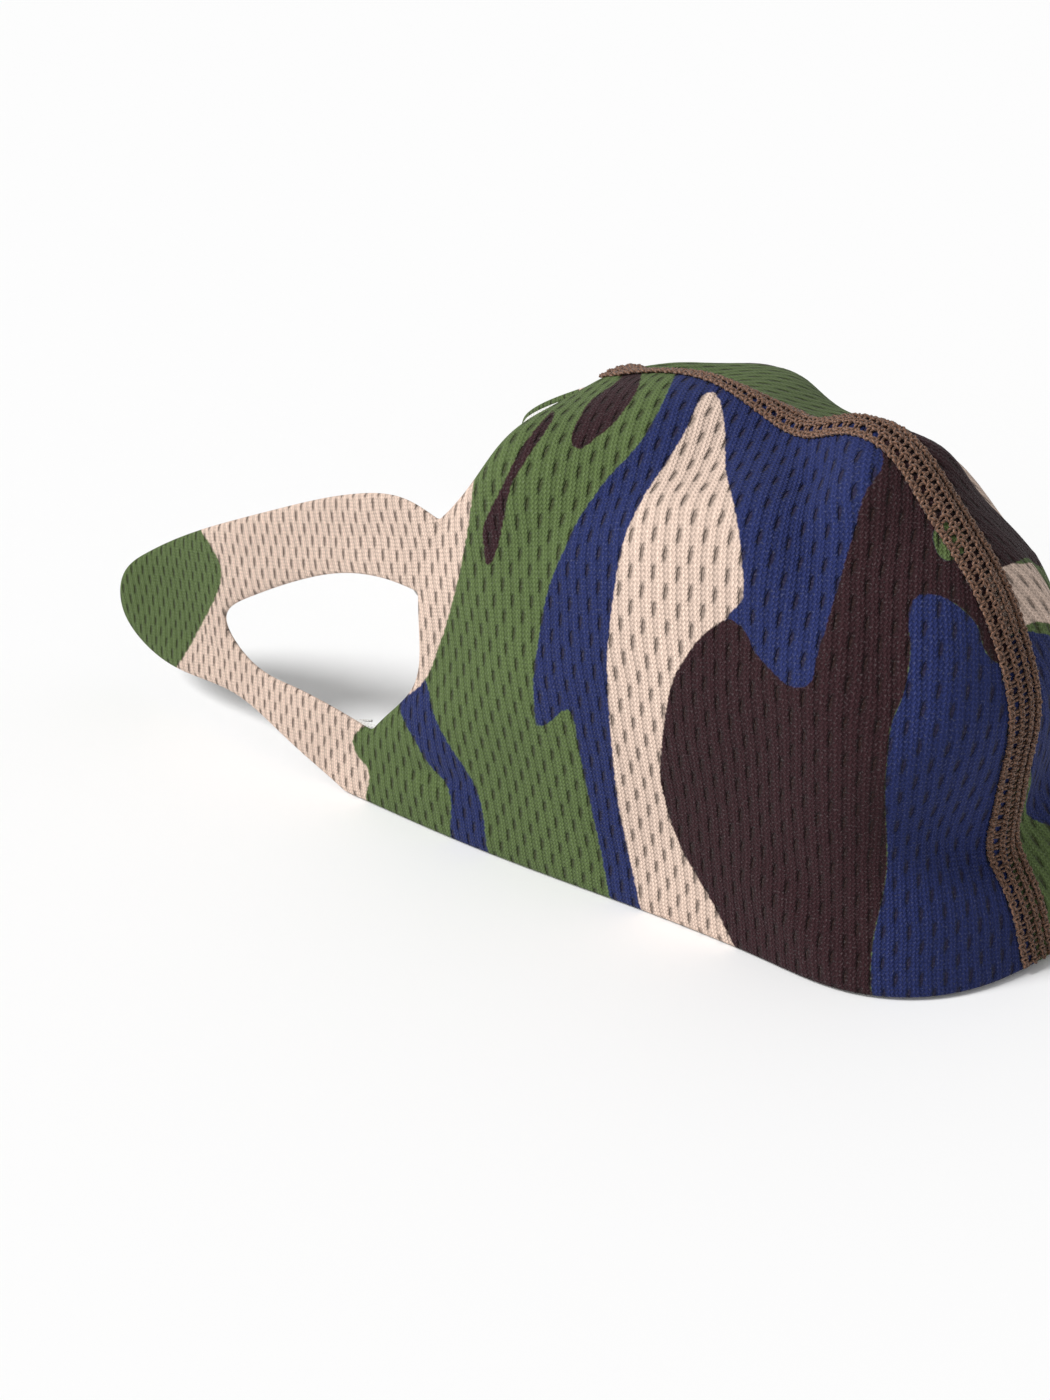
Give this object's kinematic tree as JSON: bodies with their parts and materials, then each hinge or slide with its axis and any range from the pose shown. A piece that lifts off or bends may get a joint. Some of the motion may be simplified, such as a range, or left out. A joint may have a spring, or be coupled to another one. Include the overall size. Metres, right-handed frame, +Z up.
{
  "type": "camo face mask",
  "caption": "Knitted half-face mask of two camouflage-printed cloth halves with a flatlock centre seam, white lining and cut-out ear loops.",
  "frame": {"origin": "on the table under the middle of the mask, in its plane of symmetry", "axes": "+Z up, -Y the wearer's front where the centre seam is, +X the right half when seen from the front"},
  "size_m": [0.0886, 0.1564, 0.0712],
  "materials": {
    "printed_knit": "matt birdseye knit with camouflage print",
    "lining_knit": "matt smooth jersey",
    "seam_thread": "textured polyester thread"
  },
  "bodies": {
    "mask": {"left_outer_panel": "printed_knit", "left_lining": "lining_knit", "left_chin_hem_thread": "seam_thread", "left_nose_hem_thread": "seam_thread", "left_ear_hem_thread": "seam_thread", "right_outer_panel": "printed_knit", "right_lining": "lining_knit", "right_chin_hem_thread": "seam_thread", "right_nose_hem_thread": "seam_thread", "right_ear_hem_thread": "seam_thread", "seam_cover_thread": "seam_thread", "seam_needle_threads": "seam_thread", "seam_looper_threads": "seam_thread"},
    "left_loop": {"left_ear_loop": "printed_knit", "left_ear_loop_lining": "lining_knit", "left_ear_loop_thread": "seam_thread"},
    "right_loop": {"right_ear_loop": "printed_knit", "right_ear_loop_lining": "lining_knit", "right_ear_loop_thread": "seam_thread"}
  },
  "joints": [
    {"name": "left_loop_swing", "type": "hinge", "parent": "mask", "child": "left_loop", "pos_m": [-0.041, 0.02488, 0], "axis": [0.1588, -0.2581, 0.953], "range_deg": [-40, 80]},
    {"name": "right_loop_swing", "type": "hinge", "parent": "mask", "child": "right_loop", "pos_m": [0.041, 0.02488, 0], "axis": [-0.1588, -0.2581, 0.953], "range_deg": [-80, 40]}
  ]
}
